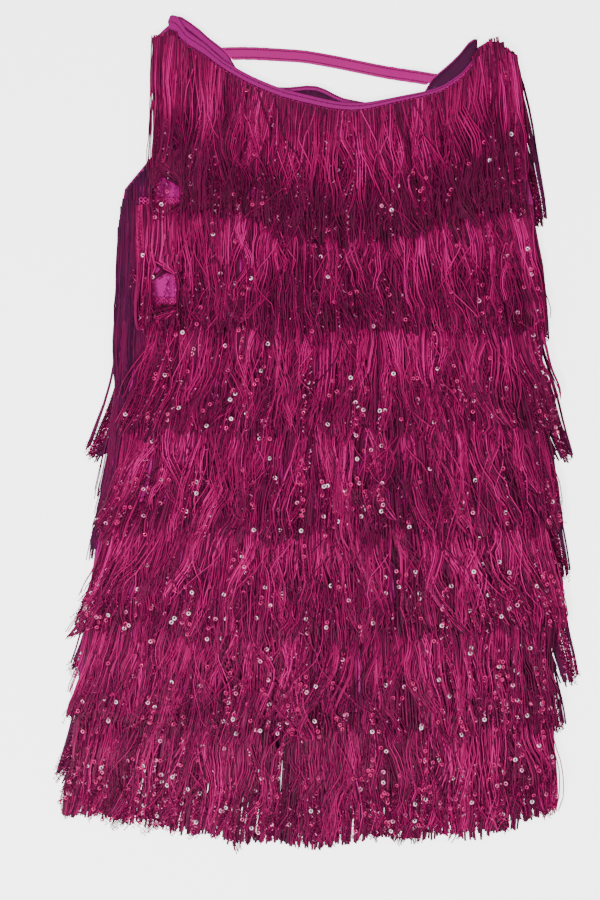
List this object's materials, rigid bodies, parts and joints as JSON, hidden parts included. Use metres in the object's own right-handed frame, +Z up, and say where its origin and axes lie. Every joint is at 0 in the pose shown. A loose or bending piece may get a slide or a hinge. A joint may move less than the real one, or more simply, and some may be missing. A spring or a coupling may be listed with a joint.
{
  "type": "fringe dance costume",
  "caption": "Sleeveless dance dress lying flat, its jersey covered with rows of long magenta fringe strung with sequins, with bound necks and an elastic back strap.",
  "frame": {"origin": "on the floor under the middle of the flat dress", "axes": "+Y from the hem to the neck, +X to the right as seen from above, +Z up, the front of the dress upwards"},
  "size_m": [0.541, 0.849, 0.0204],
  "materials": {
    "jersey": "soft stretch jersey with a slight sheen",
    "binding": "satin jersey band",
    "strap": "covered elastic with two rows of stitches",
    "fringe": "silky rayon strands",
    "sequins": "small glossy cupped sequins"
  },
  "bodies": {
    "root": {"front_panel": "jersey", "back_panel": "jersey", "neck_binding_front": "binding", "neck_binding_back": "binding", "back_strap": "strap", "fringe_front_1": "fringe", "fringe_front_2": "fringe", "fringe_front_3": "fringe", "fringe_front_4": "fringe", "fringe_front_5": "fringe", "fringe_front_6": "fringe", "fringe_front_7": "fringe", "fringe_back_1": "fringe", "fringe_back_2": "fringe", "fringe_back_3": "fringe", "fringe_back_4": "fringe", "fringe_back_5": "fringe", "fringe_back_6": "fringe", "fringe_back_7": "fringe"}
  },
  "joints": []
}
